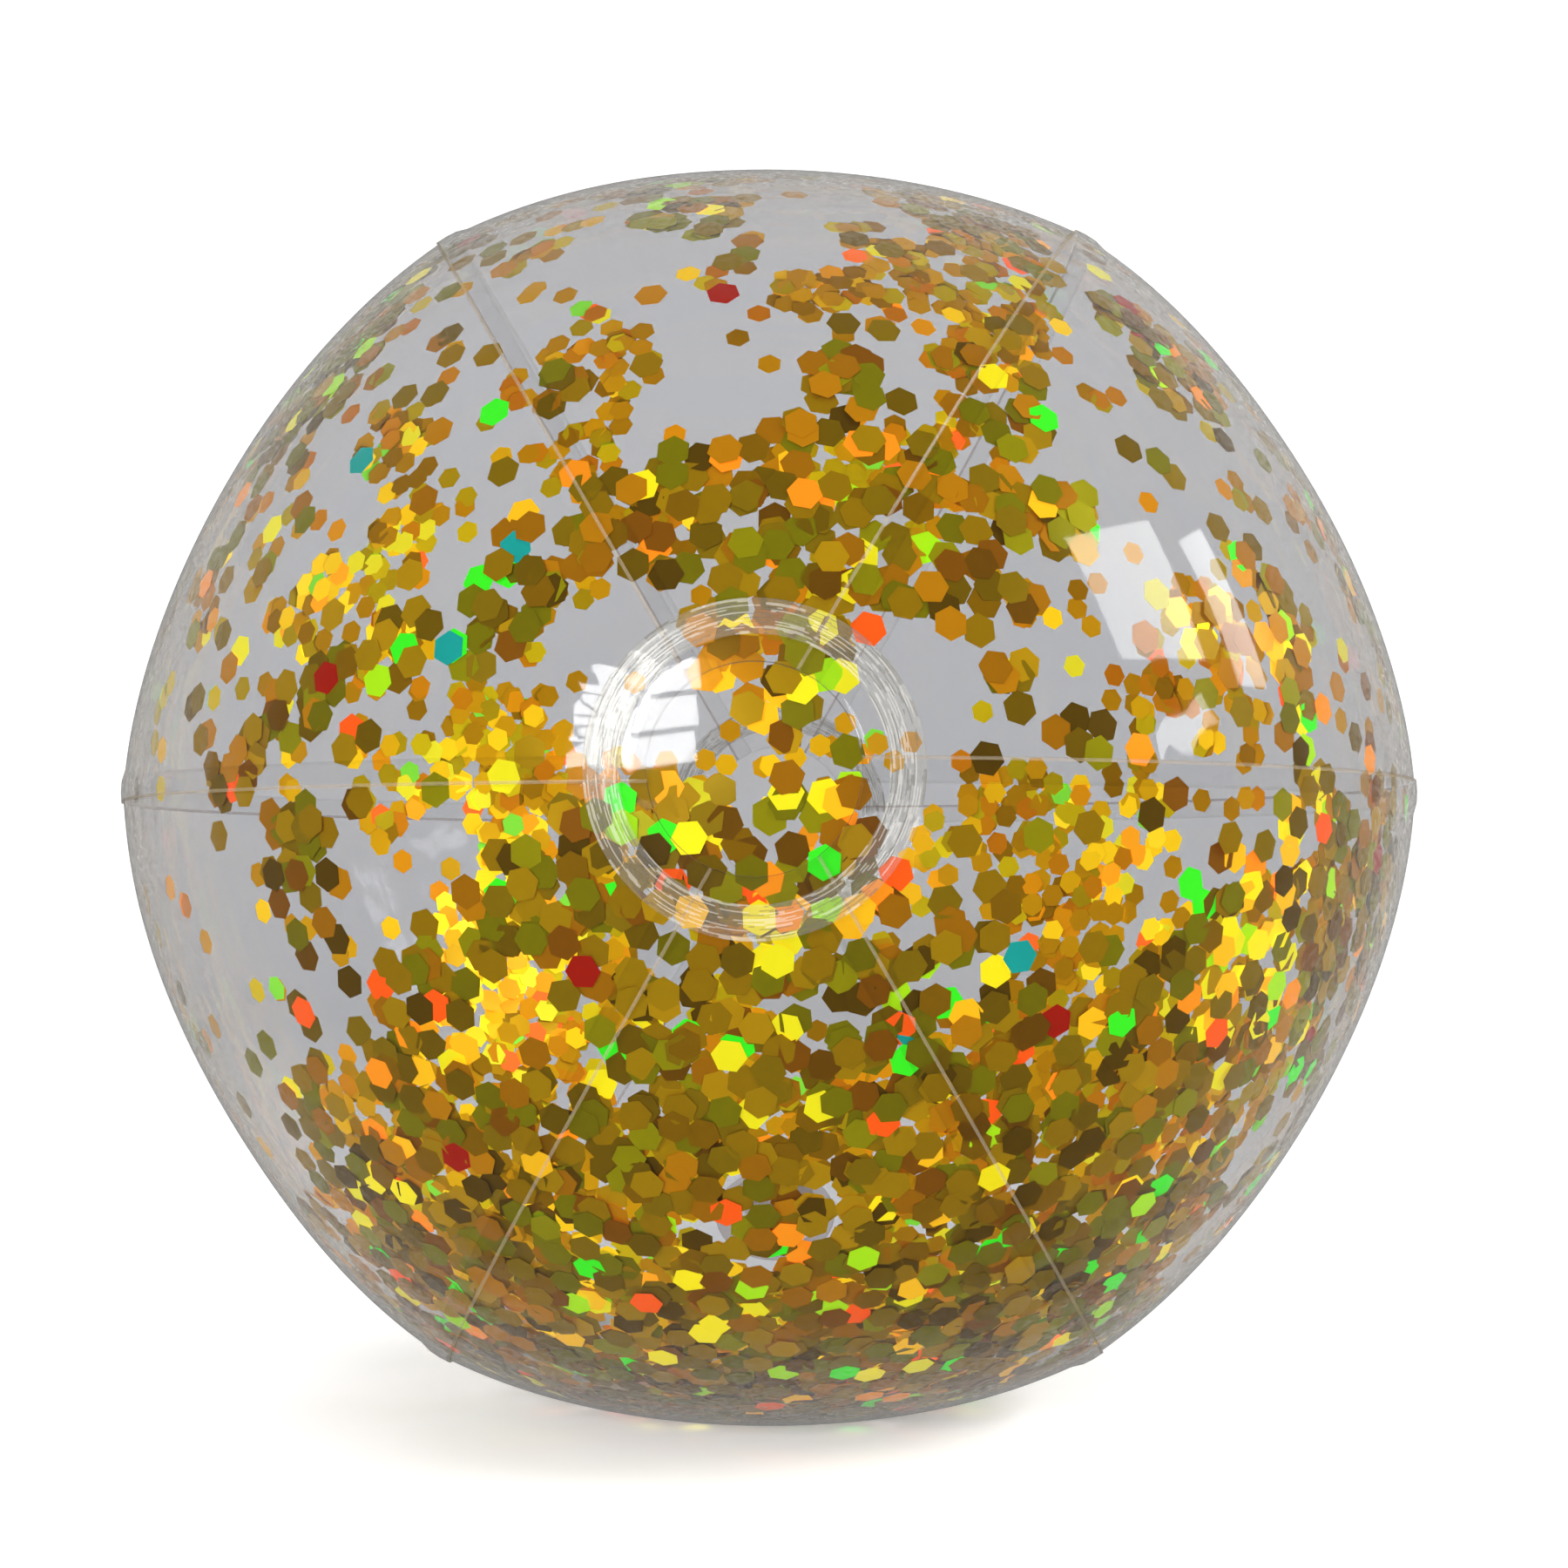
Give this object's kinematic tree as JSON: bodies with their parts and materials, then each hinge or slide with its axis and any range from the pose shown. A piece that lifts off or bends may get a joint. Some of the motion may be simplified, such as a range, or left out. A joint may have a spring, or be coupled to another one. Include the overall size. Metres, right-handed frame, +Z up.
{
  "type": "inflatable beach ball",
  "caption": "Inflated clear film beach ball with lap welded gores, round end caps, a push-in valve and loose metallic hexagonal glitter inside.",
  "frame": {"origin": "middle of the flat patch that the ball rests on, under the middle of the ball", "axes": "+Z up; Y along the pole axis, with the front end cap facing -Y; +X to the right seen from the front"},
  "size_m": [0.3512, 0.3314, 0.3376],
  "materials": {
    "clear_film": "clear glossy vinyl film",
    "end_cap_film": "clear glossy vinyl film with an embossed weld ring",
    "valve_vinyl": "soft moulded clear vinyl",
    "glitter_heap": "heap of metallised flakes",
    "flake_gold": "metallised iridescent film",
    "flake_amber": "metallised iridescent film",
    "flake_lime": "metallised iridescent film",
    "flake_olive": "metallised iridescent film"
  },
  "bodies": {
    "shell": {"gore_1": "clear_film", "gore_2": "clear_film", "gore_3": "clear_film", "gore_4": "clear_film", "gore_5": "clear_film", "gore_6": "clear_film", "front_end_cap": "end_cap_film", "rear_end_cap": "end_cap_film", "valve_flange": "valve_vinyl", "glitter_flake_01": "flake_gold", "glitter_flake_02": "flake_amber", "glitter_flake_03": "flake_lime", "glitter_flake_04": "flake_olive", "glitter_flake_05": "flake_gold", "glitter_flake_06": "flake_amber", "glitter_flake_07": "flake_lime", "glitter_flake_08": "flake_olive", "glitter_flake_09": "flake_gold", "glitter_flake_10": "flake_amber", "glitter_flake_11": "flake_lime", "glitter_flake_12": "flake_olive", "glitter_flake_13": "flake_gold", "glitter_flake_14": "flake_amber", "glitter_flake_15": "flake_lime", "glitter_flake_16": "flake_olive", "glitter_flake_17": "flake_gold", "glitter_flake_18": "flake_amber", "glitter_flake_19": "flake_lime", "glitter_flake_20": "flake_olive", "glitter_flake_21": "flake_gold", "glitter_flake_22": "flake_amber", "glitter_flake_23": "flake_lime", "glitter_flake_24": "flake_olive", "glitter_flake_25": "flake_gold", "glitter_flake_26": "flake_amber", "glitter_flake_27": "flake_lime", "glitter_flake_28": "flake_olive", "glitter_flake_29": "flake_gold", "glitter_flake_30": "flake_amber"},
    "stem": {"valve_stem": "valve_vinyl"},
    "plug": {"valve_plug": "valve_vinyl", "plug_tether": "valve_vinyl"},
    "flap": {"check_flap": "valve_vinyl"},
    "loose_glitter": {"glitter_heap": "glitter_heap"}
  },
  "joints": [
    {"name": "stem_push", "type": "slide", "parent": "shell", "child": "stem", "axis": [0, 0.6659, -0.746], "range_m": [0, 0.012]},
    {"name": "plug_swing", "type": "hinge", "parent": "stem", "child": "plug", "pos_m": [0.0096, 0.10042, 0.04236], "axis": [0, -0.746, -0.6659], "range_deg": [0, 80]},
    {"name": "flap_swing", "type": "hinge", "parent": "stem", "child": "flap", "pos_m": [0.006, 0.08876, 0.05542], "axis": [0, 0.746, 0.6659], "range_deg": [0, 40]},
    {"name": "glitter_tumble", "type": "hinge", "parent": "shell", "child": "loose_glitter", "pos_m": [0, 0, 0.1673], "axis": [0, 1, 0], "continuous": true}
  ]
}
